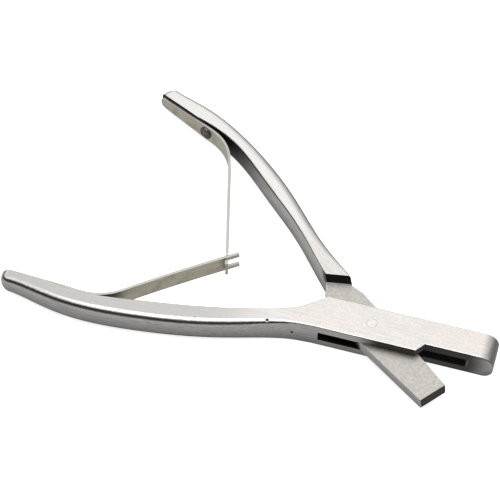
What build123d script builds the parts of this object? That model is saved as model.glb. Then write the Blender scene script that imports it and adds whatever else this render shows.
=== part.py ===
"""Box-joint pliers with a flat blade that closes into a slotted jaw.

Millimetres. The pivot axis is the Z axis, and Z = 0 is the face that the tool
rests on. +X runs from the pivot to the nose of the slotted lever, and +Y is
the side on which the blade lever's handle stands while the pliers are open.
The blade lever is drawn closed, with its blade along X, and then swung open.
"""
import os
from math import atan2, cos, degrees, radians, sin

from build123d import *

# Both levers
THICKNESS = 10.0
OPEN_ANGLE = 37.7
CLOSING_TRAVEL = 35.0
EDGE_RADIUS = 0.5
STOP_GAP = 0.3

# Slotted body and jaw
BODY_WIDTH = 14.0
NOSE_X = 42.8
NOSE_FOOT_ROUND = 3.6
NOSE_FLAT = 1.6
FLARE_INNER = (-24.1, 0.95)
FLARE_OUTER_X = -16.6
STRAIGHT_SIDE_X = -19.0
THROAT_X = 16.5
THROAT_CHAMFER = 2.5
THROAT_DEPTH = 3.4

# Slot through the body, and the plate of the blade lever that turns in it
SLOT_HEIGHT = 4.0
SLOT_END_X = 34.6
SLOT_END_FLAT = 0.6
REAR_WALL_GAP = 0.6
PLATE_CLEARANCE = 0.1
PLATE_INSET = 0.1
BLADE_LENGTH = 33.5
BLADE_END_SLOPE = 1.1
BLADE_END_RELIEF = 0.7
BLADE_TIP_TOP = 5.4
BLADE_TIP_BOTTOM = -5.0
BLADE_CORNER = 0.8
HUB_BACK_X = -13.8
TANG_CORNER_X = -16.9
TANG_ANGLE = -38.0
TANG_NECK = (-18.5, 5.9)
TANG_BACK = (-30.0, 4.0)
TANG_OVERLAP = 1.5
SHOULDER_ANGLE = 47.5
SHOULDER_SLOPE = 1.4

# Pivot pin
PIN_DIAMETER = 3.6
PIN_CLEARANCE = 0.05

# Handle sections, from the body to just short of the end: x, outer wall, inner wall,
# how much lower than the body, radius of the outer edges, radius of the inner edges
SLOTTED_HANDLE = [
    (-24.1, -7.3, 0.95, 0.0, 0.5, 0.4),
    (-31.5, -9.0, -2.4, 0.15, 1.3, 0.5),
    (-41.4, -12.2, -5.3, 0.3, 1.9, 0.7),
    (-58.0, -16.9, -9.2, 0.4, 2.2, 0.9),
    (-77.8, -20.2, -12.7, 0.4, 2.2, 0.9),
    (-97.0, -21.5, -15.1, 0.5, 2.2, 0.8),
    (-113.0, -19.8, -13.6, 1.2, 2.2, 0.7),
    (-125.2, -17.5, -12.6, 2.4, 2.0, 0.6),
]
BLADE_HANDLE = [
    (-17.0, 5.6, -3.0, 0.1, 0.5, 0.4),
    (-26.0, 7.2, -0.1, 0.14, 1.4, 0.5),
    (-35.0, 8.2, 1.9, 0.2, 2.6, 0.6),
    (-46.0, 10.2, 4.4, 0.3, 3.6, 0.8),
    (-58.0, 12.8, 6.3, 0.4, 4.0, 0.9),
    (-77.0, 15.5, 8.55, 0.4, 4.0, 0.9),
    (-95.0, 15.8, 9.8, 0.5, 3.6, 0.8),
    (-112.0, 14.0, 6.6, 1.2, 3.2, 0.7),
    (-128.6, 9.2, 3.2, 2.6, 2.4, 0.6),
]


# Blunt round ends: length, height lost, then share of the length and of the loss
END_LENGTH = 3.4
END_LOSS = 3.2
END_STEPS = ((0.65, 0.35), (1.0, 1.0))
# The largest edge radius that a handle's height leaves room for, as a share of it
MOST_ROUND = 0.45

# Straight seats of the leaf springs: handle's end, then the seat's front
SLOTTED_SEAT = ((-128.6, -12.5), (-98.7, -14.9))
BLADE_SEAT = ((-132.0, 2.8), (-103.0, 8.4))

# Leaf springs
LEAF_THICKNESS = 0.9
LEAF_WIDTH = 6.9
LEAF_FOOT_WIDTH = 4.6
LEAF_FOOT_RADIUS = 2.0
LEAF_INSET = 0.6
FORK_BEND_START = 28.5
FORK_BEND_RADIUS = 20.0
FORK_BEND = 45.6
FORK_BOW_RADIUS = 560.0
FORK_REACH = 43.0
FORK_PLAY = 0.45
FORK_SLOT_LENGTH = 5.4
TONGUE_BEND_START = 27.4
TONGUE_BEND_RADIUS = 20.5
TONGUE_BEND = 47.4
TONGUE_END_WIDTH = 5.4
NECK_WIDTH = 2.4
NECK_PLAY = 0.75
HEAD_WIDTH = 6.0
HEAD_LENGTH = 1.7

# Leaf rivets
SLOTTED_RIVET_X = 21.5
BLADE_RIVET_X = 24.2
RIVET_HEAD_DIAMETER = 5.0
RIVET_HEAD_HEIGHT = 0.8
RIVET_HEAD_ROUND = 0.55
RIVET_SHANK_DIAMETER = 2.4
RIVET_SHANK_DEPTH = 3.0
RIVET_CLEARANCE = 0.1

# Worked out from the above
MID_Z = THICKNESS / 2
HALF_BODY = BODY_WIDTH / 2
JAW_Y = THROAT_DEPTH - HALF_BODY
NOSE_TOP_ROUND = THICKNESS - NOSE_FOOT_ROUND - NOSE_FLAT
SLOT_END_RADIUS = (SLOT_HEIGHT - SLOT_END_FLAT) / 2
PLATE_THICKNESS = SLOT_HEIGHT - 2 * PLATE_CLEARANCE
PLATE_HALF_WIDTH = HALF_BODY - PLATE_INSET
FORK_SLOT = NECK_WIDTH + 2 * FORK_PLAY
NECK_LENGTH = LEAF_THICKNESS + 2 * NECK_PLAY
CLOSED_ANGLE = CLOSING_TRAVEL - OPEN_ANGLE
SWUNG_OPEN = Rot(0, 0, -OPEN_ANGLE)
FAR = 200.0


def turned(point, angle):
    """A plan point turned about the pivot axis, by an angle in degrees."""
    c = cos(radians(angle))
    s = sin(radians(angle))
    return (point[0] * c - point[1] * s, point[0] * s + point[1] * c)


def onward(point, angle, distance):
    """The plan point that lies a distance away in a direction."""
    step = turned((distance, 0), angle)
    return (point[0] + step[0], point[1] + step[1])


def heading(start, end):
    """The direction from one plan point to another, in degrees."""
    return degrees(atan2(end[1] - start[1], end[0] - start[0]))


def prism(outline, bottom, top):
    """The solid that stands on a closed plan outline."""
    return Pos(0, 0, bottom) * extrude(make_face(outline), top - bottom)


def seat_frame(seat):
    """Origin at the handle's end, with X running forwards along the seat."""
    return Pos(*seat[0], 0) * Rot(0, 0, heading(*seat))


def handle_section(x, outer, inner, lost, outer_radius, inner_radius):
    """One upright cross-section of a handle: a block with rounded edges."""
    height = THICKNESS - lost
    outer_radius = min(outer_radius, MOST_ROUND * height)
    inner_radius = min(inner_radius, MOST_ROUND * height)
    section = Rectangle(abs(outer - inner), height)
    left, right = section.vertices().group_by(Axis.X)
    if outer > inner:
        left_radius, right_radius = inner_radius, outer_radius
    else:
        left_radius, right_radius = outer_radius, inner_radius
    section = fillet(left, left_radius)
    section = fillet(section.vertices().group_by(Axis.X)[-1], right_radius)
    middle = (x, (outer + inner) / 2, MID_Z)
    return Plane(middle, x_dir=(0, 1, 0), z_dir=(1, 0, 0)) * section


def handle_bar(stations, seat, side):
    """A forged bar through its sections, with a blunt round end and a flat seat."""
    bar = loft([handle_section(*station) for station in stations])
    x, outer, inner, lost_before, outer_radius, inner_radius = stations[-1]
    end_sections = [handle_section(*stations[-1])]
    for along, lost in END_STEPS:
        end_sections.append(
            handle_section(
                x - END_LENGTH * along,
                outer - side * END_LOSS / 2 * lost,
                inner,
                lost_before + END_LOSS * lost,
                outer_radius * (1 - lost / 4),
                inner_radius * (1 - lost / 4),
            )
        )
    bar += loft(end_sections)
    behind = 2 * END_LENGTH
    length = behind + Vector(*seat[1]).sub(Vector(*seat[0])).length
    cutter = Box(length, BODY_WIDTH, 2 * THICKNESS)
    cutter = Pos(length / 2 - behind, -side * BODY_WIDTH / 2, MID_Z) * cutter
    return bar - seat_frame(seat) * cutter


def rivet_hole(seat, rivet_x):
    """The blind hole for a leaf rivet, from the seat into the handle."""
    shank = Cylinder(RIVET_SHANK_DIAMETER / 2, 2 * RIVET_SHANK_DEPTH, rotation=(90, 0, 0))
    return seat_frame(seat) * Pos(rivet_x, 0, MID_Z) * shank


def pivot_bore(diameter):
    """The bore on the pivot axis, right through."""
    return Pos(0, 0, MID_Z) * Cylinder(diameter / 2, 2 * THICKNESS)


def body_block():
    """The straight body and jaw, before they are slotted."""
    body_foot = SLOTTED_HANDLE[0][1]
    plan = Polyline(
        FLARE_INNER,
        (FLARE_OUTER_X, HALF_BODY),
        (NOSE_X, HALF_BODY),
        (NOSE_X, -HALF_BODY),
        (STRAIGHT_SIDE_X, -HALF_BODY),
        (FLARE_INNER[0], body_foot),
        close=True,
    )
    block = prism(plan, 0, THICKNESS)
    nose_foot, nose_top = block.edges().filter_by(Axis.Y).sort_by(Axis.X)[-2:].sort_by(Axis.Z)
    block = fillet(nose_foot, NOSE_FOOT_ROUND)
    nose_top = block.edges().filter_by(Axis.Y).group_by(Axis.Z)[-1].sort_by(Axis.X)[-1]
    block = fillet(nose_top, NOSE_TOP_ROUND)
    throat = Polyline(
        (THROAT_X, -HALF_BODY),
        (THROAT_X + THROAT_CHAMFER, JAW_Y),
        (NOSE_X + 1, JAW_Y),
        (NOSE_X + 1, -BODY_WIDTH),
        (THROAT_X, -BODY_WIDTH),
        close=True,
    )
    block -= prism(throat, -1, THICKNESS + 1)
    for wall_y in (HALF_BODY, -HALF_BODY, JAW_Y):
        walls = block.faces().filter_by(Axis.Y)
        wall = walls.filter_by(lambda f: abs(f.center().Y - wall_y) < 0.01)[0]
        rim = wall.edges().filter_by(lambda e: abs(e.center().Z - MID_Z) > 1)
        block = fillet(rim, EDGE_RADIUS)
    return block


def tang_line():
    """The tang's inner edge in the blade lever's own plan: two points."""
    corner = (TANG_CORNER_X, -PLATE_HALF_WIDTH)
    length = (corner[0] - FLARE_INNER[0] + TANG_OVERLAP) / cos(radians(TANG_ANGLE))
    return corner, onward(corner, TANG_ANGLE, -length)


def body_slot():
    """The slot that the plate swings in, milled through from side to side."""
    corner, inner = (turned(point, CLOSED_ANGLE) for point in tang_line())
    angle = heading(corner, inner)
    corner = onward(corner, angle + 90, REAR_WALL_GAP)
    lip_x = corner[0] - (HALF_BODY + corner[1]) / sin(radians(angle)) * cos(radians(angle))
    plan = Polyline(
        (lip_x, -BODY_WIDTH),
        (lip_x, -HALF_BODY),
        onward(corner, angle, FAR),
        (SLOT_END_X, FAR),
        (SLOT_END_X, -BODY_WIDTH),
        close=True,
    )
    slot = prism(plan, MID_Z - SLOT_HEIGHT / 2, MID_Z + SLOT_HEIGHT / 2)
    front = slot.edges().filter_by(Axis.Y).sort_by(Axis.X)[-2:]
    return fillet(front, SLOT_END_RADIUS)


def slotted_lever():
    lever = body_block() + handle_bar(SLOTTED_HANDLE, SLOTTED_SEAT, -1)
    lever -= body_slot()
    lever -= pivot_bore(PIN_DIAMETER)
    return lever - rivet_hole(SLOTTED_SEAT, SLOTTED_RIVET_X)


def shoulder_slab():
    """Everything behind the two sloped shoulders of the blade lever."""
    stop = turned(FLARE_INNER, -CLOSED_ANGLE)
    foot = onward(stop, SHOULDER_ANGLE + 90, STOP_GAP)
    half = PLATE_THICKNESS / 2
    height = MID_Z + 1
    back = SHOULDER_SLOPE * (height - half) / (MID_Z - half)
    profile = Polyline(
        (0, -half),
        (0, half),
        (-back, height),
        (-FAR, height),
        (-FAR, -height),
        (-back, -height),
        close=True,
    )
    facing = turned((1, 0), SHOULDER_ANGLE - 90)
    plane = Plane((*foot, MID_Z), x_dir=(*facing, 0), z_dir=(*turned((1, 0), SHOULDER_ANGLE + 180), 0))
    return extrude(plane * make_face(profile), FAR, both=True)


def blade_plate():
    """The blade, the hub and the tang: one flat plate."""
    corner, inner = tang_line()
    outline = Polyline(
        (BLADE_LENGTH, BLADE_TIP_TOP),
        (0, PLATE_HALF_WIDTH),
        (HUB_BACK_X, PLATE_HALF_WIDTH),
        TANG_NECK,
        TANG_BACK,
        inner,
        corner,
        (0, -PLATE_HALF_WIDTH),
        (BLADE_LENGTH, BLADE_TIP_BOTTOM),
        close=True,
    )
    plate = prism(outline, MID_Z - PLATE_THICKNESS / 2, MID_Z + PLATE_THICKNESS / 2)
    tip = plate.edges().filter_by(Axis.Z).sort_by(Axis.X)[-2:]
    plate = fillet(tip, BLADE_CORNER)
    half = PLATE_THICKNESS / 2
    ground_off = Polyline(
        (BLADE_LENGTH - BLADE_END_RELIEF, -half),
        (BLADE_LENGTH - BLADE_END_SLOPE * BLADE_END_RELIEF / PLATE_THICKNESS, BLADE_END_RELIEF - half),
        (BLADE_LENGTH - BLADE_END_SLOPE, half),
        (BLADE_LENGTH + 1, half),
        (BLADE_LENGTH + 1, -half),
        close=True,
    )
    return plate - Pos(0, 0, MID_Z) * extrude(Plane.XZ * make_face(ground_off), FAR, both=True)


def blade_lever():
    """The handle up to its shoulders, with the plate, all swung open."""
    lever = SWUNG_OPEN * handle_bar(BLADE_HANDLE, BLADE_SEAT, 1) & SWUNG_OPEN * shoulder_slab()
    lever += SWUNG_OPEN * blade_plate()
    lever -= pivot_bore(PIN_DIAMETER + 2 * PIN_CLEARANCE)
    return lever - SWUNG_OPEN * rivet_hole(BLADE_SEAT, BLADE_RIVET_X)


def pivot_pin():
    return Pos(0, 0, MID_Z) * Cylinder(PIN_DIAMETER / 2, THICKNESS)


def leaf_side(start, direction, runs, offset):
    """One long side of a bent strip, a distance to the left of its foot."""
    pieces = []
    point = onward(start, direction + 90, offset)
    for length, radius, turn in runs:
        if turn == 0:
            piece = Line(point, onward(point, direction, length))
        elif turn > 0:
            piece = JernArc(point, turned((1, 0), direction), radius - offset, turn)
        else:
            piece = JernArc(point, turned((1, 0), direction), radius + offset, turn)
        direction += turn
        pieces.append(piece)
        point = ((piece @ 1).X, (piece @ 1).Y)
    return pieces


def leaf_strip(seat, side, rivet_x, runs):
    """A bent strip that starts flat on a seat, with a tapered, rounded foot."""
    start = onward(seat[0], heading(*seat), LEAF_INSET)
    near = leaf_side(start, heading(*seat), runs, 0)
    far = leaf_side(start, heading(*seat), runs, side * LEAF_THICKNESS)
    ends = [Line(near[0] @ 0, far[0] @ 0), Line(near[-1] @ 1, far[-1] @ 1)]
    strip = prism([*near, *far, *ends], MID_Z - LEAF_WIDTH / 2, MID_Z + LEAF_WIDTH / 2)
    foot = Polyline(
        (LEAF_INSET, -LEAF_FOOT_WIDTH / 2),
        (LEAF_INSET, LEAF_FOOT_WIDTH / 2),
        (rivet_x, LEAF_WIDTH / 2),
        (FAR, LEAF_WIDTH),
        (FAR, -LEAF_WIDTH),
        (rivet_x, -LEAF_WIDTH / 2),
        close=True,
    )
    foot_slab = Pos(0, 0, MID_Z) * extrude(Plane.XZ * make_face(foot), FAR / 2, both=True)
    corners = foot_slab.edges().filter_by(Axis.Y).group_by(Axis.X)[0]
    strip &= seat_frame(seat) * fillet(corners, LEAF_FOOT_RADIUS)
    hole_radius = RIVET_SHANK_DIAMETER / 2 + RIVET_CLEARANCE
    hole = Cylinder(hole_radius, 4 * LEAF_THICKNESS, rotation=(90, 0, 0))
    return strip - seat_frame(seat) * Pos(rivet_x, 0, MID_Z) * hole


def fork_runs():
    """The fork leaf's line: flat foot, bend, then a slightly bowed blade."""
    return [
        (FORK_BEND_START - LEAF_INSET, 0, 0),
        (0, FORK_BEND_RADIUS, FORK_BEND),
        (0, FORK_BOW_RADIUS, -degrees(FORK_REACH / FORK_BOW_RADIUS)),
    ]


def fork_tip():
    """The middle of the fork leaf's tip, and the direction that it points in."""
    seat_angle = heading(*SLOTTED_SEAT)
    start = onward(SLOTTED_SEAT[0], seat_angle, LEAF_INSET)
    blade = leaf_side(start, seat_angle, fork_runs(), LEAF_THICKNESS / 2)[-1]
    direction = blade % 1
    return ((blade @ 1).X, (blade @ 1).Y), degrees(atan2(direction.Y, direction.X))


def fork_spring():
    leaf = leaf_strip(SLOTTED_SEAT, 1, SLOTTED_RIVET_X, fork_runs())
    tip, angle = fork_tip()
    slot = Pos(-FORK_SLOT_LENGTH / 2, 0, 0) * Box(FORK_SLOT_LENGTH, LEAF_WIDTH, FORK_SLOT)
    return leaf - Pos(*tip, MID_Z) * Rot(0, 0, angle) * slot


def tongue_runs(reach):
    """The tongue leaf's line: flat foot, bend, then a straight blade."""
    return [
        (TONGUE_BEND_START - LEAF_INSET, 0, 0),
        (0, TONGUE_BEND_RADIUS, -TONGUE_BEND),
        (reach, 0, 0),
    ]


def tongue_blade():
    """Where the open tongue leaf's blade starts, its direction, the way to the fork."""
    seat_angle = heading(*BLADE_SEAT)
    start = onward(BLADE_SEAT[0], seat_angle, LEAF_INSET)
    blade = leaf_side(start, seat_angle, tongue_runs(1), -LEAF_THICKNESS / 2)[-1]
    root = turned(((blade @ 0).X, (blade @ 0).Y), -OPEN_ANGLE)
    angle = seat_angle - TONGUE_BEND - OPEN_ANGLE
    tip, fork_angle = fork_tip()
    to_tip = turned((tip[0] - root[0], tip[1] - root[1]), -fork_angle)
    return root, angle, to_tip[1] / sin(radians(angle - fork_angle))


def tongue_spring():
    root, angle, crossing = tongue_blade()
    neck_start = crossing - NECK_LENGTH / 2
    head_start = crossing + NECK_LENGTH / 2
    leaf = leaf_strip(BLADE_SEAT, -1, BLADE_RIVET_X, tongue_runs(head_start + HEAD_LENGTH))
    half_outline = [
        (-FAR, LEAF_WIDTH),
        (0, LEAF_WIDTH / 2),
        (neck_start, TONGUE_END_WIDTH / 2),
        (neck_start, NECK_WIDTH / 2),
        (head_start, NECK_WIDTH / 2),
        (head_start, HEAD_WIDTH / 2),
        (FAR, HEAD_WIDTH / 2),
    ]
    other_half = [(x, -z) for x, z in reversed(half_outline)]
    outline = make_face(Polyline(*half_outline, *other_half, close=True))
    widths = extrude(Plane.XZ * outline, FAR / 2, both=True)
    return SWUNG_OPEN * leaf & Pos(*root, MID_Z) * Rot(0, 0, angle) * widths


def leaf_rivet(seat, side, rivet_x):
    """A low round head on the leaf, and a shank down into the handle."""
    head = Cylinder(RIVET_HEAD_DIAMETER / 2, RIVET_HEAD_HEIGHT)
    head = fillet(head.edges().sort_by(Axis.Z)[-1], RIVET_HEAD_ROUND)
    head = Pos(0, 0, LEAF_THICKNESS + RIVET_HEAD_HEIGHT / 2) * head
    length = LEAF_THICKNESS + RIVET_SHANK_DEPTH
    shank = Pos(0, 0, LEAF_THICKNESS - length / 2) * Cylinder(RIVET_SHANK_DIAMETER / 2, length)
    outwards = Pos(rivet_x, 0, MID_Z) * Rot(-90 * side, 0, 0)
    return seat_frame(seat) * outwards * (head + shank)


os.makedirs("parts", exist_ok=True)
nodes = {
    "slotted_lever": slotted_lever(),
    "blade_lever": blade_lever(),
    "pivot_pin": pivot_pin(),
    "fork_spring": fork_spring(),
    "tongue_spring": tongue_spring(),
    "fork_spring_rivet": leaf_rivet(SLOTTED_SEAT, 1, SLOTTED_RIVET_X),
    "tongue_spring_rivet": SWUNG_OPEN * leaf_rivet(BLADE_SEAT, -1, BLADE_RIVET_X),
}
for name, node in nodes.items():
    node.label = name
    export_step(node, f"parts/{name}.step")
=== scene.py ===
"""Box-joint pliers with a slotted jaw: forged stainless levers and two leaf springs."""

import bpy
import numpy as np
from mathutils import Matrix, Vector


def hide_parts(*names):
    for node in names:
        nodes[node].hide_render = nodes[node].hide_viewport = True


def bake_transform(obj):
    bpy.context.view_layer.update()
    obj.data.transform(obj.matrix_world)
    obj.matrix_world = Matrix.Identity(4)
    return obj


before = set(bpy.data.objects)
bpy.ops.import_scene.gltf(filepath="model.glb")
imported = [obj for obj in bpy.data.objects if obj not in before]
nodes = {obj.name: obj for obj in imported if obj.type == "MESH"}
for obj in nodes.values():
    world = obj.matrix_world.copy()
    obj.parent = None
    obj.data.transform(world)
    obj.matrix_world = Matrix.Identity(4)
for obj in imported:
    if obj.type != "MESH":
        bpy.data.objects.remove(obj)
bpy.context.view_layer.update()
MM = 0.001

# ---------------------------------------------------------------------------
# Camera. A long lens looks down on the pliers from in front of the slotted
# lever, a little to the right of square on.
CAMERA_TURN = np.radians(16.695)
CAMERA_TILT = np.radians(51.179)
CAMERA_DISTANCE = 632.92
AIM = Vector((-49.538, 21.586, 6.0))
LENS = 129.6
SENSOR = 36.0
CLIP_START = 0.01

backwards = Vector(
    (
        np.sin(CAMERA_TURN) * np.cos(CAMERA_TILT),
        -np.cos(CAMERA_TURN) * np.cos(CAMERA_TILT),
        np.sin(CAMERA_TILT),
    )
)
rightwards = Vector((np.cos(CAMERA_TURN), np.sin(CAMERA_TURN), 0))
upwards = backwards.cross(rightwards)
lens = bpy.data.cameras.new("camera")
lens.lens = LENS
lens.sensor_width = SENSOR
lens.clip_start = CLIP_START
camera = bpy.data.objects.new("camera", lens)
axes = Matrix((rightwards, upwards, backwards)).transposed().to_4x4()
camera.matrix_world = Matrix.Translation((AIM + backwards * CAMERA_DISTANCE) * MM) @ axes
bpy.context.scene.collection.objects.link(camera)
bpy.context.scene.camera = camera

# ---------------------------------------------------------------------------
# Studio. The pliers lie on a pale matt table that is lit a little from below,
# with a wide soft box almost straight above them. The room is dim at eye level,
# and that draws the dark line along every rounded steel edge.
TABLE_SIZE = 4.0
TABLE_DROP = 0.00005
TABLE_WHITE = "#F7F7F6"
TABLE_ROUGHNESS = 0.9
TABLE_GLOW = 0.8
SOFT_BOX_SIZE = 0.8
SOFT_BOX_DISTANCE = 1.3
SOFT_BOX_AIM = (-0.05, 0.05, 1.0)
SOFT_BOX_WATTS = 4.6
# Height of a direction, from straight down to straight up, and how bright the room is there
ROOM = ((-1.0, 0.12), (-0.93, 0.3), (-0.7, 0.56), (-0.3, 0.5), (-0.05, 0.25), (0.12, 0.03))
# The ceiling leans back: where its light starts and is full, and how bright it is
CEILING_LEAN = 30.0
CEILING_EDGE = 0.26
CEILING_FULL = 0.62
CEILING_BRIGHTNESS = 1.12


def linear(colour):
    """An sRGB hex colour as linear red, green, blue and full opacity."""
    parts = np.array([int(colour[i : i + 2], 16) for i in (1, 3, 5)]) / 255
    low = parts / 12.92
    high = ((parts + 0.055) / 1.055) ** 2.4
    return (*np.where(parts <= 0.04045, low, high).tolist(), 1.0)


def add(tree, kind, inputs=None, **settings):
    """Adds a node with its own settings; each input is a value or another node's output."""
    node = tree.nodes.new("ShaderNode" + kind)
    for name, value in settings.items():
        setattr(node, name, value)
    for name, value in (inputs or {}).items():
        if isinstance(value, bpy.types.NodeSocket):
            tree.links.new(value, node.inputs[name])
        else:
            node.inputs[name].default_value = value
    return node.outputs


table_mesh = bpy.data.meshes.new("table")
corners = np.array([(-1, -1, 0), (1, -1, 0), (1, 1, 0), (-1, 1, 0)]) * TABLE_SIZE / 2
corners[:, 2] = -TABLE_DROP
table_mesh.from_pydata(corners.tolist(), [], [(0, 1, 2, 3)])
table = bpy.data.objects.new("table", table_mesh)
table.visible_glossy = False
bpy.context.scene.collection.objects.link(table)

matt_table = bpy.data.materials.new("matt white table")
matt_table.use_nodes = True
tree = matt_table.node_tree
tree.nodes.clear()
surface = add(
    tree,
    "BsdfPrincipled",
    {
        "Base Color": linear(TABLE_WHITE),
        "Roughness": TABLE_ROUGHNESS,
        "Specular IOR Level": 0.0,
        "Emission Color": linear(TABLE_WHITE),
        "Emission Strength": TABLE_GLOW,
    },
)
add(tree, "OutputMaterial", {"Surface": surface[0]})
table_mesh.materials.append(matt_table)

soft_box_light = bpy.data.lights.new("soft box", "AREA")
soft_box_light.size = SOFT_BOX_SIZE
soft_box_light.energy = SOFT_BOX_WATTS
soft_box = bpy.data.objects.new("soft box", soft_box_light)
towards = Vector(SOFT_BOX_AIM).normalized()
soft_box.location = AIM * MM + towards * SOFT_BOX_DISTANCE
soft_box.rotation_euler = towards.to_track_quat("Z", "Y").to_euler()
bpy.context.scene.collection.objects.link(soft_box)

room = bpy.data.worlds.new("room")
room.use_nodes = True
tree = room.node_tree
tree.nodes.clear()
direction = add(tree, "TexCoord")["Generated"]
height = add(tree, "SeparateXYZ", {0: direction})["Z"]
share = add(tree, "MapRange", {"Value": height, "From Min": -1, "From Max": 1})[0]
ramp = tree.nodes.new("ShaderNodeValToRGB")
tree.links.new(share, ramp.inputs[0])
steps = ramp.color_ramp.elements
while len(steps) < len(ROOM):
    steps.new(0.5)
for step, (level, brightness) in zip(steps, ROOM):
    step.position = (level + 1) / 2
    step.color = (brightness, brightness, brightness, 1)
lean = (np.radians(CEILING_LEAN), 0, 0)
leaning = add(tree, "Mapping", {"Vector": direction, "Rotation": lean})[0]
up_the_lean = add(tree, "SeparateXYZ", {0: leaning})["Z"]
ceiling = add(
    tree,
    "MapRange",
    {
        "Value": up_the_lean,
        "From Min": CEILING_EDGE,
        "From Max": CEILING_FULL,
        "To Max": CEILING_BRIGHTNESS,
    },
    interpolation_type="SMOOTHSTEP",
)[0]
whole_room = add(tree, "VectorMath", {0: ramp.outputs[0], 1: ceiling}, operation="ADD")[0]
background = add(tree, "Background", {"Color": whole_room})
add(tree, "OutputWorld", {"Surface": background[0]})
bpy.context.scene.world = room
bpy.context.scene.view_settings.view_transform = "Standard"

# ---------------------------------------------------------------------------
# Levers. Both are drop-forged stainless steel. The wide flats are surface
# ground and blasted, so they are mottled; the flanks are belt-polished along
# their length. Hollows, the slot, the throat, the nose, the shoulders, the
# blade's end and the low flanks are darkened with painted shade. The long flats
# of the handles carry painted shade on one lever and a painted highlight on the
# other, and a few real forging pits are dark.
OPEN_ANGLE = 37.7
THICKNESS = 10.0
STEEL_BRIGHT = "#DEDBD8"
STEEL_MOTTLE = "#C8C5C1"
STEEL_WARM = "#DCD2CC"
STEEL_FLANK = "#BDBBB8"
# The plate's flats: a darker ground grey, partly painted shade
PLATE_GREY_AND_SHADE = "#B9B6B1"
PLATE_SPOTS_AND_SHADE = "#A39F98"
# Black for the painted shade and for the real forging pits
SHADE_AND_PIT_BLACK = "#161413"
MOTTLE_SIZE = 0.9
PATCH_SIZE = 7.0
GRIT_SIZE = 0.45
# The stretch of each pattern over which it goes from nothing to full
SPOT_ENDS = (0.4, 0.66)
WARM_ENDS = (0.42, 0.62)
STREAK_ENDS = (0.4, 0.7)
BELT_LINE_WIDTH = 0.5
BELT_LINE_LENGTH = 16.0
HOLLOW_REACH = 3.5
# How open a hollow is where its painted shade starts and where it is full
HOLLOW_ENDS = (0.5, 0.2)
WORN_EDGE = 0.18
# How level a face is where it starts to count as flat, and where it does fully
LEVEL_ENDS = (0.93, 0.995)
# Flat faces this near to middle height are the plate's, or the slot's
PLATE_HALF_HEIGHT = 2.2
SATIN_ROUGHNESS = (0.2, 0.3)
BLAST_ROUGHNESS = 0.14
SCALE_ROUGHNESS = 0.6
GRIT_DEPTH = 0.03
BELT_DEPTH = 0.01
PIT_DEPTH = 0.2
# Painted shade low on the upright faces, darker towards the bottom: where the grey is full and
# where it ends
FLANK_FOOT_SHADE = (0.0, 7.0)
FLANK_FOOT_SHADE_STRENGTH = 0.62
# The blasting fades along the handles to a share of it, and painted shade on their inner walls
# by the leaf's foot fades in, up to its own strength
BLAST_ENDS = (-62.0, -24.0)
BLAST_LEFT = 0.25
INNER_SHADE_ENDS = (-58.0, -101.0)
INNER_SHADE = 0.94
INWARD_ENDS = (0.5, 0.8)
# How dark the painted shade on the flats inside the slot is
SLOT_SHADE = 0.95
# The long flats of the handles get their own colour apart from the body: a painted shade
# on the slotted lever and a painted highlight on the blade lever
HANDLE_FLAT_ENDS = (-32.0, -52.0)
SLOTTED_FLAT_SHADE = "#BAB8B5"
BLADE_FLAT_HIGHLIGHT = "#E3E1DE"
# Small pits from the forging: x, y, z and radius, and how much of the radius is black
PIT_CORE = 0.35
SLOTTED_PITS = (
    (-34.4, -8.7, 9.6, 0.8),
    (-25.9, -7.6, 4.6, 0.7),
    (-33.3, -2.9, 9.8, 0.45),
    (-58.3, -14.6, 9.5, 0.5),
)
BLADE_PITS = ((-21.5, 1.6, 9.7, 1.0), (-64.0, 12.0, 9.4, 0.35))
# Faces given painted shade: the way each faces, how squarely before it starts to
# darken and is darkest, the middle of the dark, its reach and its strength. The dark is
# full over a share of its reach.
FULL_SHARE = 0.6
THROAT_WALLS = ((0, -1, 0), (0.46, 0.5), (19.0, -4.0, 5.5), 25.0, 0.84)
NOSE_ROUND = ((0.92, 0, 0.4), (0.45, 0.85), (42.0, 0.0, 6.0), 22.0, 0.55)
SHOULDERS = ((0.737, -0.676, 0), (0.83, 0.87), (-21.0, 4.0, 5.0), 16.0, 0.96)
SHOULDER_HEEL = ((-0.1, -1, 0), (0.81, 0.85), (-23.0, -1.0, 9.0), 6.5, 0.8)
BLADE_END = ((0.96, 0, 0.28), (0.8, 0.88), (33.0, 0.0, 5.0), 16.0, 0.85)
OUTER_EDGE = ((0, 0.95, 0.3), (0.4, 0.85), (-75.0, 14.0, 8.0), 120.0, 0.5)
SLOTTED_SHADE_FACES = (THROAT_WALLS, NOSE_ROUND)
BLADE_SHADE_FACES = (SHOULDERS, SHOULDER_HEEL, BLADE_END, OUTER_EDGE)


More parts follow.
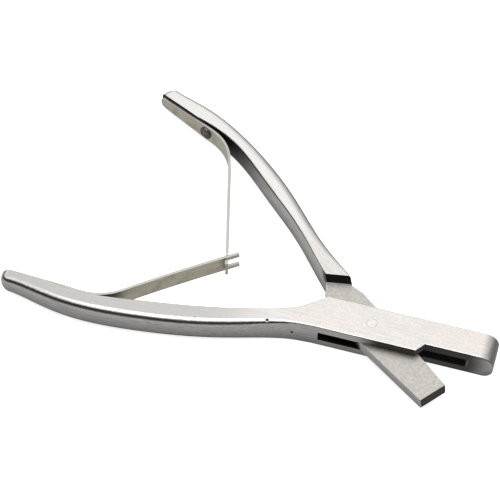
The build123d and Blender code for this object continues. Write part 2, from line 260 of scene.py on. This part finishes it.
def forged_steel(name, turn, inner_side, flat_light_colour, slot_shade, pits, shaded_faces):
    """Ground, blasted and belt-polished stainless, with painted shade and light. turn brings the
    lever's length onto X, inner_side is the side that faces the other handle, flat_light_colour
    is the colour of the flats along the handle, painted as shade on the slotted lever and as a
    highlight on the blade lever, slot_shade is how dark the painted shade on the flats at middle
    height is, and shaded_faces lists the faces given painted shade."""
    material = bpy.data.materials.new(name)
    material.use_nodes = True
    tree = material.node_tree
    tree.nodes.clear()
    coordinates = add(tree, "TexCoord")
    level = (0, 0, np.radians(turn))
    millimetres = (1 / MM, 1 / MM, 1 / MM)
    place = add(
        tree,
        "Mapping",
        {"Vector": coordinates["Object"], "Rotation": level, "Scale": millimetres},
    )[0]
    way = add(tree, "Mapping", {"Vector": coordinates["Normal"], "Rotation": level})[0]
    x = add(tree, "SeparateXYZ", {0: place})["X"]
    z = add(tree, "SeparateXYZ", {0: place})["Z"]
    facing = add(tree, "SeparateXYZ", {0: way})
    flat = add(tree, "Math", {0: facing["Z"]}, operation="ABSOLUTE")[0]
    flat = add(
        tree, "MapRange", {"Value": flat, "From Min": LEVEL_ENDS[0], "From Max": LEVEL_ENDS[1]}
    )[0]

    # What the grinding, the blasting and the belt leave
    mottle = add(
        tree,
        "TexNoise",
        {"Vector": place, "Scale": 1 / MOTTLE_SIZE, "Detail": 5, "Roughness": 0.68},
    )[0]
    patch = add(
        tree,
        "TexNoise",
        {"Vector": place, "Scale": 1 / PATCH_SIZE, "Detail": 4, "Roughness": 0.6},
    )[0]
    grit = add(
        tree,
        "TexNoise",
        {"Vector": place, "Scale": 1 / GRIT_SIZE, "Detail": 3, "Roughness": 0.7},
    )[0]
    along = add(
        tree,
        "Mapping",
        {
            "Vector": place,
            "Scale": (1 / BELT_LINE_LENGTH, 1 / BELT_LINE_WIDTH, 1 / BELT_LINE_WIDTH),
        },
    )[0]
    belt = add(tree, "TexNoise", {"Vector": along, "Scale": 1, "Detail": 4, "Roughness": 0.65})[0]
    blast = add(
        tree,
        "MapRange",
        {
            "Value": x,
            "From Min": BLAST_ENDS[0],
            "From Max": BLAST_ENDS[1],
            "To Min": BLAST_LEFT,
        },
    )[0]
    blast = add(tree, "Math", {0: blast, 1: flat}, operation="MULTIPLY")[0]
    spots = add(
        tree, "MapRange", {"Value": mottle, "From Min": SPOT_ENDS[0], "From Max": SPOT_ENDS[1]}
    )[0]
    spots = add(tree, "Math", {0: spots, 1: blast}, operation="MULTIPLY")[0]
    warmth = add(
        tree, "MapRange", {"Value": patch, "From Min": WARM_ENDS[0], "From Max": WARM_ENDS[1]}
    )[0]
    streaks = add(
        tree, "MapRange", {"Value": belt, "From Min": STREAK_ENDS[0], "From Max": STREAK_ENDS[1]}
    )[0]
    off_middle = add(tree, "Math", {0: z, 1: THICKNESS / 2}, operation="SUBTRACT")[0]
    off_middle = add(tree, "Math", {0: off_middle}, operation="ABSOLUTE")[0]
    plate = add(tree, "Math", {0: off_middle, 1: PLATE_HALF_HEIGHT}, operation="LESS_THAN")[0]
    plate = add(tree, "Math", {0: plate, 1: flat}, operation="MULTIPLY")[0]
    colour = add(
        tree,
        "Mix",
        {0: streaks, 6: linear(STEEL_BRIGHT), 7: linear(STEEL_FLANK)},
        data_type="RGBA",
    )[2]
    warm = add(tree, "Math", {0: warmth, 1: blast}, operation="MULTIPLY")[0]
    colour = add(tree, "Mix", {0: warm, 6: colour, 7: linear(STEEL_WARM)}, data_type="RGBA")[2]
    # Painted light on the long flats of the handles: shade on the slotted lever, a highlight on
    # the blade lever
    behind = add(
        tree,
        "MapRange",
        {"Value": x, "From Min": HANDLE_FLAT_ENDS[0], "From Max": HANDLE_FLAT_ENDS[1]},
        interpolation_type="SMOOTHSTEP",
    )[0]
    behind = add(tree, "Math", {0: behind, 1: flat}, operation="MULTIPLY")[0]
    colour = add(
        tree, "Mix", {0: behind, 6: colour, 7: linear(flat_light_colour)}, data_type="RGBA"
    )[2]
    # The plate's flats: a darker ground grey that is partly painted shade
    colour = add(tree, "Mix", {0: plate, 6: colour, 7: linear(PLATE_GREY_AND_SHADE)}, data_type="RGBA")[2]
    tone = add(
        tree,
        "Mix",
        {0: plate, 6: linear(STEEL_MOTTLE), 7: linear(PLATE_SPOTS_AND_SHADE)},
        data_type="RGBA",
    )[2]
    colour = add(tree, "Mix", {0: spots, 6: colour, 7: tone}, data_type="RGBA")[2]

    # Painted shade: darker in hollows, on the inner walls by the leaf's foot, on the slot's flats,
    # low on the flanks and on the listed faces; the pits are real dark marks
    # Painted shade in hollows, from ambient occlusion
    hollow = add(
        tree, "AmbientOcclusion", {"Distance": HOLLOW_REACH * MM}, samples=8, only_local=True
    )["AO"]
    dark = add(
        tree, "MapRange", {"Value": hollow, "From Min": HOLLOW_ENDS[0], "From Max": HOLLOW_ENDS[1]}
    )[0]
    # Painted shade on the inner walls by the leaf's foot
    inward = add(tree, "Math", {0: facing["Y"], 1: inner_side}, operation="MULTIPLY")[0]
    inward = add(
        tree,
        "MapRange",
        {"Value": inward, "From Min": INWARD_ENDS[0], "From Max": INWARD_ENDS[1]},
    )[0]
    by_foot = add(
        tree,
        "MapRange",
        {
            "Value": x,
            "From Min": INNER_SHADE_ENDS[0],
            "From Max": INNER_SHADE_ENDS[1],
            "To Max": INNER_SHADE,
        },
        interpolation_type="SMOOTHSTEP",
    )[0]
    inner_shade = add(tree, "Math", {0: inward, 1: by_foot}, operation="MULTIPLY")[0]
    dark = add(tree, "Math", {0: dark, 1: inner_shade}, operation="MAXIMUM")[0]
    # Painted shade on the flats inside the slot
    in_slot = add(tree, "Math", {0: plate, 1: slot_shade}, operation="MULTIPLY")[0]
    dark = add(tree, "Math", {0: dark, 1: in_slot}, operation="MAXIMUM")[0]
    # Painted shade, darker towards the bottom of the upright faces
    low = add(
        tree,
        "MapRange",
        {"Value": z, "From Min": FLANK_FOOT_SHADE[1], "From Max": FLANK_FOOT_SHADE[0], "To Max": FLANK_FOOT_SHADE_STRENGTH},
    )[0]
    upright = add(tree, "Math", {0: 1.0, 1: flat}, operation="SUBTRACT")[0]
    low = add(tree, "Math", {0: low, 1: upright}, operation="MULTIPLY")[0]
    dark = add(tree, "Math", {0: dark, 1: low}, operation="MAXIMUM")[0]
    # Painted shade on the listed faces, by the way they face and how near they lie
    for face_way, (starts, full), centre, reach, strength in shaded_faces:
        square = add(tree, "VectorMath", {0: way, 1: face_way}, operation="DOT_PRODUCT")["Value"]
        square = add(
            tree, "MapRange", {"Value": square, "From Min": starts, "From Max": full}
        )[0]
        away = add(tree, "VectorMath", {0: place, 1: centre}, operation="DISTANCE")["Value"]
        near = add(
            tree,
            "MapRange",
            {
                "Value": away,
                "From Min": reach,
                "From Max": reach * FULL_SHARE,
                "To Max": strength,
            },
            interpolation_type="SMOOTHSTEP",
        )[0]
        face = add(tree, "Math", {0: square, 1: near}, operation="MULTIPLY")[0]
        dark = add(tree, "Math", {0: dark, 1: face}, operation="MAXIMUM")[0]
    pitted = 0.0
    for *centre, radius in pits:
        away = add(tree, "VectorMath", {0: place, 1: centre}, operation="DISTANCE")["Value"]
        pit = add(
            tree,
            "MapRange",
            {"Value": away, "From Min": radius, "From Max": radius * PIT_CORE},
            interpolation_type="SMOOTHSTEP",
        )[0]
        pitted = add(tree, "Math", {0: pit, 1: pitted}, operation="MAXIMUM")[0]
    dark = add(tree, "Math", {0: dark, 1: pitted}, operation="MAXIMUM")[0]
    # Painted shade and the dark of the pits, mixed in with one black
    colour = add(tree, "Mix", {0: dark, 6: colour, 7: linear(SHADE_AND_PIT_BLACK)}, data_type="RGBA")[2]

    satin = add(
        tree,
        "MapRange",
        {"Value": streaks, "To Min": SATIN_ROUGHNESS[0], "To Max": SATIN_ROUGHNESS[1]},
    )[0]
    roughness = add(tree, "MapRange", {"Value": blast, "To Max": BLAST_ROUGHNESS})[0]
    roughness = add(tree, "Math", {0: satin, 1: roughness}, operation="ADD")[0]
    roughness = add(tree, "Mix", {0: dark, 2: roughness, 3: SCALE_ROUGHNESS})[0]

    rounded = add(tree, "Bevel", {"Radius": WORN_EDGE * MM}, samples=6)[0]
    relief = add(tree, "Math", {0: grit, 1: blast}, operation="MULTIPLY")[0]
    relief = add(
        tree,
        "Bump",
        {"Height": relief, "Distance": GRIT_DEPTH * MM, "Strength": 1.0, "Normal": rounded},
    )[0]
    relief = add(
        tree,
        "Bump",
        {"Height": belt, "Distance": BELT_DEPTH * MM, "Strength": 1.0, "Normal": relief},
    )[0]
    sunk = add(tree, "Math", {0: 1.0, 1: pitted}, operation="SUBTRACT")[0]
    relief = add(
        tree,
        "Bump",
        {"Height": sunk, "Distance": PIT_DEPTH * MM, "Strength": 1.0, "Normal": relief},
    )[0]
    steel = add(
        tree,
        "BsdfPrincipled",
        {"Base Color": colour, "Metallic": 1.0, "Roughness": roughness, "Normal": relief},
    )[0]
    add(tree, "OutputMaterial", {"Surface": steel})
    return material


nodes["slotted_lever"].material_slots[0].material = forged_steel(
    "ground forged stainless, slotted lever",
    0,
    1,
    SLOTTED_FLAT_SHADE,
    SLOT_SHADE,
    SLOTTED_PITS,
    SLOTTED_SHADE_FACES,
)
nodes["blade_lever"].material_slots[0].material = forged_steel(
    "ground forged stainless, blade lever",
    OPEN_ANGLE,
    -1,
    BLADE_FLAT_HIGHLIGHT,
    0.0,
    BLADE_PITS,
    BLADE_SHADE_FACES,
)

# ---------------------------------------------------------------------------
# Pivot pin. A hardened steel pin pressed through the box joint and ground
# flush with both faces, so that only a fine ring shows where it ends.
PIN_RADIUS = 1.8
PIN_RING = 0.12
PIN_STEEL = "#DBD8D5"
PIN_JOINT = "#AFABA6"
PIN_SPOT_ENDS = (0.42, 0.68)
PIN_ROUGHNESS = (0.34, 0.5)

pin_steel = bpy.data.materials.new("ground pin steel")
pin_steel.use_nodes = True
tree = pin_steel.node_tree
tree.nodes.clear()
place = add(
    tree,
    "Mapping",
    {"Vector": add(tree, "TexCoord")["Object"], "Scale": (1 / MM, 1 / MM, 0)},
)[0]
reach = add(tree, "VectorMath", {0: place}, operation="LENGTH")["Value"]
ring = add(
    tree,
    "MapRange",
    {
        "Value": reach,
        "From Min": PIN_RADIUS - 2 * PIN_RING,
        "From Max": PIN_RADIUS - PIN_RING / 2,
    },
)[0]
grit = add(tree, "TexNoise", {"Vector": place, "Scale": 1 / MOTTLE_SIZE, "Detail": 5})[0]
spots = add(
    tree, "MapRange", {"Value": grit, "From Min": PIN_SPOT_ENDS[0], "From Max": PIN_SPOT_ENDS[1]}
)[0]
colour = add(
    tree, "Mix", {0: spots, 6: linear(PIN_STEEL), 7: linear(STEEL_MOTTLE)}, data_type="RGBA"
)[2]
colour = add(tree, "Mix", {0: ring, 6: colour, 7: linear(PIN_JOINT)}, data_type="RGBA")[2]
roughness = add(
    tree, "MapRange", {"Value": spots, "To Min": PIN_ROUGHNESS[0], "To Max": PIN_ROUGHNESS[1]}
)[0]
relief = add(tree, "Bump", {"Height": grit, "Distance": GRIT_DEPTH * MM, "Strength": 1.0})[0]
steel = add(
    tree,
    "BsdfPrincipled",
    {"Base Color": colour, "Metallic": 1.0, "Roughness": roughness, "Normal": relief},
)[0]
add(tree, "OutputMaterial", {"Surface": steel})
nodes["pivot_pin"].material_slots[0].material = pin_steel

# ---------------------------------------------------------------------------
# Fork leaf spring. A strip of rolled spring steel, bent once near its foot and
# slit at its tip into two prongs that hold the other leaf. It is tumbled after
# it is blanked, so its edges are soft, and it is riveted to the slotted lever.
LEAF_THICKNESS = 0.9
LEAF_WIDTH = 6.9
LEAF_INSET = 0.6
LEAF_FOOT_WIDTH = 4.6
LEAF_FOOT_RADIUS = 2.0
LEAF_EDGE = 0.14
LEAF_EDGE_STEPS = 3
SHARP_ANGLE = 40.0
SMOOTH_ANGLE = 38.0
FORK_SEAT = ((-128.6, -12.5), (-98.7, -14.9))
FORK_STRAIGHT = 27.9
FORK_RADIUS = 19.55
FORK_BEND = 45.6
FORK_BLADE = 43.03
FORK_BOW = -4.4
FORK_SLOT = 3.3
FORK_SLOT_LENGTH = 5.4
FORK_RIVET_X = 21.5
LINE_STEP = 0.02
EASE = 3.0
STATION_STEP = 1.0
STATION_GAP = 0.6
FOOT_STATIONS = 9
SLOT_STATIONS = 8
# Lines along the strip between its middle and its edge, as shares of the half width
EDGE_SHARE = 0.74
SLOT_SHARE = 0.5
NUDGE = 1e-6
STRIP_WARM = "#DED7C6"
STRIP_GREY = "#CCC5B5"
STRIP_STAIN = "#BFB6A3"
STRIP_EDGE = "#B4B3AE"
STRIP_ROUGHNESS = (0.26, 0.46)
STRIP_EDGE_ENDS = (0.5, 0.8)
ROLL_LINE_ENDS = (0.4, 0.7)
STAIN_ENDS = (0.48, 0.7)
ROLL_LINE_WIDTH = 0.35
ROLL_LINE_LENGTH = 14.0
ROLL_DEPTH = 0.01
TUMBLE_SIZE = 0.6
TUMBLE_DEPTH = 0.012
STAIN_SIZE = 5.0


def bent_line(start, heading, straight, radius, bend, blade, bow):
    """A leaf's middle line: its heading is level, then turns evenly through the bend, then
    drifts by the bow. The heading is averaged over a short ease, and its steps add up to x, y."""
    arc = radius * np.radians(abs(bend))
    total = straight + arc + blade
    along = np.arange(0, total + LINE_STEP, LINE_STEP)
    turn = np.interp(along, [0, straight, straight + arc, total], [0, 0, bend, bend + bow])
    window = int(EASE / LINE_STEP)
    padded = np.pad(turn, window // 2, mode="edge")
    turn = np.convolve(padded, np.ones(window) / window, mode="same")[window // 2 :][: len(along)]
    angle = np.radians(heading + turn)
    x = start[0] + np.concatenate([[0], np.cumsum(np.cos(angle[:-1]) * LINE_STEP)])
    y = start[1] + np.concatenate([[0], np.cumsum(np.sin(angle[:-1]) * LINE_STEP)])
    return along, x, y, angle


def leaf_piece(name, line, stations, lines, kept):
    """A flat blank of stations along the leaf by lines across it, wrapped round the leaf's
    middle line, then thickened, with its edges rounded. kept says which cells are steel."""
    along, x, y, _ = line
    rows, columns = lines.shape
    px = np.interp(stations, along, x)[:, None].repeat(columns, 1)
    py = np.interp(stations, along, y)[:, None].repeat(columns, 1)
    points = np.stack([px, py, lines + THICKNESS / 2], -1).reshape(-1, 3) * MM
    number = np.arange(rows * columns).reshape(rows, columns)
    cells = np.stack(
        [number[:-1, :-1], number[1:, :-1], number[1:, 1:], number[:-1, 1:]], -1
    )
    faces = cells[kept].reshape(-1, 4)
    used, renumbered = np.unique(faces, return_inverse=True)
    faces = renumbered.reshape(-1, 4)
    strip = np.stack([stations[:, None].repeat(columns, 1), lines], -1).reshape(-1, 2) * MM
    mesh = bpy.data.meshes.new(name)
    mesh.from_pydata(points[used].tolist(), [], faces.tolist())
    uv = mesh.uv_layers.new(name="strip")
    uv.data.foreach_set("uv", strip[used][faces.ravel()].astype(np.float32).ravel())
    blank = bpy.data.objects.new(name, mesh)
    bpy.context.scene.collection.objects.link(blank)
    wall = blank.modifiers.new("thickness", "SOLIDIFY")
    wall.thickness = LEAF_THICKNESS * MM
    wall.offset = 0
    wall.use_even_offset = True
    edge = blank.modifiers.new("tumbled edges", "BEVEL")
    edge.width = LEAF_EDGE * MM
    edge.segments = LEAF_EDGE_STEPS
    edge.limit_method = "ANGLE"
    edge.angle_limit = np.radians(SHARP_ANGLE)
    bpy.context.view_layer.update()
    finished = bpy.data.meshes.new_from_object(
        blank.evaluated_get(bpy.context.evaluated_depsgraph_get())
    )
    blank.modifiers.clear()
    blank.data = finished
    finished.name = name
    finished.shade_smooth()
    finished.set_sharp_from_angle(angle=np.radians(SMOOTH_ANGLE))
    return blank


def foot_half_width(stations, rivet_x):
    """Half the width near the foot: a straight taper to the full width at the rivet, less a
    round corner at the very end."""
    taper = np.interp(
        stations, [0, rivet_x - LEAF_INSET], [LEAF_FOOT_WIDTH / 2, LEAF_WIDTH / 2]
    )
    into = np.clip(LEAF_FOOT_RADIUS - stations, 0, LEAF_FOOT_RADIUS)
    corner = LEAF_FOOT_RADIUS - np.sqrt(LEAF_FOOT_RADIUS**2 - into**2)
    return taper - corner


def rolled_strip(name):
    """Tumbled spring strip: rolling lines run its length, heat has left it a warm grey, and
    its sheared edges are a cooler grey."""
    material = bpy.data.materials.new(name)
    material.use_nodes = True
    tree = material.node_tree
    tree.nodes.clear()
    place = add(
        tree, "Mapping", {"Vector": add(tree, "TexCoord")["UV"], "Scale": (1 / MM, 1 / MM, 1)}
    )[0]
    along = add(
        tree,
        "Mapping",
        {"Vector": place, "Scale": (1 / ROLL_LINE_LENGTH, 1 / ROLL_LINE_WIDTH, 1)},
    )[0]
    rolling = add(
        tree, "TexNoise", {"Vector": along, "Scale": 1, "Detail": 4, "Roughness": 0.6}
    )[0]
    tumbling = add(tree, "TexNoise", {"Vector": place, "Scale": 1 / TUMBLE_SIZE, "Detail": 4})[0]
    staining = add(tree, "TexNoise", {"Vector": place, "Scale": 1 / STAIN_SIZE, "Detail": 3})[0]
    lines = add(
        tree,
        "MapRange",
        {"Value": rolling, "From Min": ROLL_LINE_ENDS[0], "From Max": ROLL_LINE_ENDS[1]},
    )[0]
    stain = add(
        tree, "MapRange", {"Value": staining, "From Min": STAIN_ENDS[0], "From Max": STAIN_ENDS[1]}
    )[0]
    colour = add(
        tree, "Mix", {0: lines, 6: linear(STRIP_WARM), 7: linear(STRIP_GREY)}, data_type="RGBA"
    )[2]
    colour = add(tree, "Mix", {0: stain, 6: colour, 7: linear(STRIP_STAIN)}, data_type="RGBA")[2]
    up = add(tree, "SeparateXYZ", {0: add(tree, "TexCoord")["Normal"]})["Z"]
    up = add(tree, "Math", {0: up}, operation="ABSOLUTE")[0]
    edge = add(
        tree,
        "MapRange",
        {"Value": up, "From Min": STRIP_EDGE_ENDS[0], "From Max": STRIP_EDGE_ENDS[1]},
    )[0]
    colour = add(tree, "Mix", {0: edge, 6: colour, 7: linear(STRIP_EDGE)}, data_type="RGBA")[2]
    roughness = add(
        tree,
        "MapRange",
        {"Value": tumbling, "To Min": STRIP_ROUGHNESS[0], "To Max": STRIP_ROUGHNESS[1]},
    )[0]
    relief = add(
        tree, "Bump", {"Height": tumbling, "Distance": TUMBLE_DEPTH * MM, "Strength": 1.0}
    )[0]
    relief = add(
        tree,
        "Bump",
        {"Height": rolling, "Distance": ROLL_DEPTH * MM, "Strength": 1.0, "Normal": relief},
    )[0]
    strip = add(
        tree,
        "BsdfPrincipled",
        {"Base Color": colour, "Metallic": 1.0, "Roughness": roughness, "Normal": relief},
    )[0]
    add(tree, "OutputMaterial", {"Surface": strip})
    return material


def seat_line(seat, side):
    """Where a leaf's middle line starts above its seat, and its heading in degrees."""
    (x0, y0), (x1, y1) = seat
    heading = np.arctan2(y1 - y0, x1 - x0)
    x = x0 + LEAF_INSET * np.cos(heading) - side * LEAF_THICKNESS / 2 * np.sin(heading)
    y = y0 + LEAF_INSET * np.sin(heading) + side * LEAF_THICKNESS / 2 * np.cos(heading)
    return (x, y), np.degrees(heading)


fork_start, fork_heading = seat_line(FORK_SEAT, 1)
fork_line = bent_line(
    fork_start, fork_heading, FORK_STRAIGHT, FORK_RADIUS, FORK_BEND, FORK_BLADE, FORK_BOW
)
fork_length = fork_line[0][-1] - LINE_STEP
slot_start = fork_length - FORK_SLOT_LENGTH
foot_stations = LEAF_FOOT_RADIUS * (1 - np.cos(np.linspace(0, np.pi / 2, FOOT_STATIONS)))
stations = np.concatenate(
    [
        foot_stations,
        np.arange(LEAF_FOOT_RADIUS + STATION_STEP, slot_start - STATION_GAP, STATION_STEP),
        np.linspace(slot_start, fork_length, SLOT_STATIONS),
    ]
)
half = foot_half_width(stations, FORK_RIVET_X)
shares = np.array([-1, -EDGE_SHARE, 0, 0, 0, EDGE_SHARE, 1])
lines = half[:, None] * shares
slot_line = np.minimum(FORK_SLOT / 2, half * SLOT_SHARE)
lines[:, 2] = -slot_line
lines[:, 4] = slot_line
kept = np.ones((len(stations) - 1, len(shares) - 1), bool)
kept[stations[:-1] >= slot_start - NUDGE, 2:4] = False
fork = leaf_piece("fork_leaf", fork_line, stations, lines, kept)
spring_strip = rolled_strip("tumbled spring strip")
fork.data.materials.append(spring_strip)
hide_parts("fork_spring")

# ---------------------------------------------------------------------------
# Tongue leaf spring. The same strip, bent the other way. It ends in a narrow
# neck and a T-shaped head that hooks through the fork, and it is riveted to
# the blade lever.
TONGUE_SEAT = ((-132.0, 2.8), (-103.0, 8.4))
TONGUE_STRAIGHT = 26.8
TONGUE_RADIUS = 20.05
TONGUE_BEND = -47.4
TONGUE_RIVET_X = 24.2
TONGUE_END_WIDTH = 5.4
NECK_WIDTH = 2.4
NECK_LENGTH = 2.4
HEAD_WIDTH = 6.0
HEAD_LENGTH = 1.7
HEAD_STATIONS = 4
LONG_ENOUGH = 60.0

swing = np.radians(-OPEN_ANGLE)
turned = np.array(((np.cos(swing), -np.sin(swing)), (np.sin(swing), np.cos(swing))))
open_seat = (np.array(TONGUE_SEAT) @ turned.T).tolist()
tongue_start, tongue_heading = seat_line(open_seat, -1)
fork_tip = np.array((fork_line[1][-1], fork_line[2][-1]))
fork_way = np.array((np.cos(fork_line[3][-1]), np.sin(fork_line[3][-1])))
tongue_arc = TONGUE_RADIUS * np.radians(abs(TONGUE_BEND))
tongue_root = TONGUE_STRAIGHT + tongue_arc
tongue_line = bent_line(
    tongue_start, tongue_heading, TONGUE_STRAIGHT, TONGUE_RADIUS, TONGUE_BEND, LONG_ENOUGH, 0
)
along, x, y, _ = tongue_line
gap = (x - fork_tip[0]) * fork_way[1] - (y - fork_tip[1]) * fork_way[0]
crossing_at = np.argmin(np.where(along > tongue_root, np.abs(gap), np.inf))
crossing = along[crossing_at]
neck_start = crossing - NECK_LENGTH / 2
head_start = crossing + NECK_LENGTH / 2
tongue_length = head_start + HEAD_LENGTH
stations = np.concatenate(
    [
        foot_stations,
        np.arange(LEAF_FOOT_RADIUS + STATION_STEP, neck_start - STATION_GAP, STATION_STEP),
        np.linspace(neck_start, head_start, HEAD_STATIONS),
        np.linspace(head_start, tongue_length, HEAD_STATIONS)[1:],
    ]
)
half = np.minimum(
    foot_half_width(stations, TONGUE_RIVET_X),
    np.interp(
        stations,
        [tongue_root, neck_start, head_start],
        [LEAF_WIDTH / 2, TONGUE_END_WIDTH / 2, HEAD_WIDTH / 2],
    ),
)
lines = half[:, None] * shares
neck_line = np.minimum(NECK_WIDTH / 2, half * SLOT_SHARE)
lines[:, 2] = -neck_line
lines[:, 4] = neck_line
in_neck = (stations[:-1] >= neck_start - NUDGE) & (stations[:-1] < head_start - NUDGE)
kept = np.ones((len(stations) - 1, len(shares) - 1), bool)
kept[in_neck, :2] = False
kept[in_neck, 4:] = False
tongue = leaf_piece("tongue_leaf", tongue_line, stations, lines, kept)
tongue.data.materials.append(spring_strip)
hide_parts("tongue_spring")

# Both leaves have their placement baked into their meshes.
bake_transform(fork)
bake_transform(tongue)

# ---------------------------------------------------------------------------
# Leaf rivets. Low round heads of plain steel that were set with a punch, duller
# and darker than the strip, and worn bright in patches.
RIVET_DARK = "#5E5C5A"
RIVET_LIGHT = "#8E8B87"
RIVET_ROUGHNESS = (0.5, 0.34)
WORN_ENDS = (0.4, 0.65)
DENT_SIZE = 0.9
DENT_DEPTH = 0.05

rivet_steel = bpy.data.materials.new("set rivet steel")
rivet_steel.use_nodes = True
tree = rivet_steel.node_tree
tree.nodes.clear()
place = add(
    tree,
    "Mapping",
    {"Vector": add(tree, "TexCoord")["Object"], "Scale": (1 / MM, 1 / MM, 1 / MM)},
)[0]
dents = add(
    tree, "TexNoise", {"Vector": place, "Scale": 1 / DENT_SIZE, "Detail": 4, "Roughness": 0.6}
)[0]
worn = add(
    tree, "MapRange", {"Value": dents, "From Min": WORN_ENDS[0], "From Max": WORN_ENDS[1]}
)[0]
colour = add(
    tree, "Mix", {0: worn, 6: linear(RIVET_DARK), 7: linear(RIVET_LIGHT)}, data_type="RGBA"
)[2]
roughness = add(
    tree, "MapRange", {"Value": worn, "To Min": RIVET_ROUGHNESS[0], "To Max": RIVET_ROUGHNESS[1]}
)[0]
relief = add(tree, "Bump", {"Height": dents, "Distance": DENT_DEPTH * MM, "Strength": 1.0})[0]
steel = add(
    tree,
    "BsdfPrincipled",
    {"Base Color": colour, "Metallic": 1.0, "Roughness": roughness, "Normal": relief},
)[0]
add(tree, "OutputMaterial", {"Surface": steel})
for name in ("fork_spring_rivet", "tongue_spring_rivet"):
    nodes[name].material_slots[0].material = rivet_steel
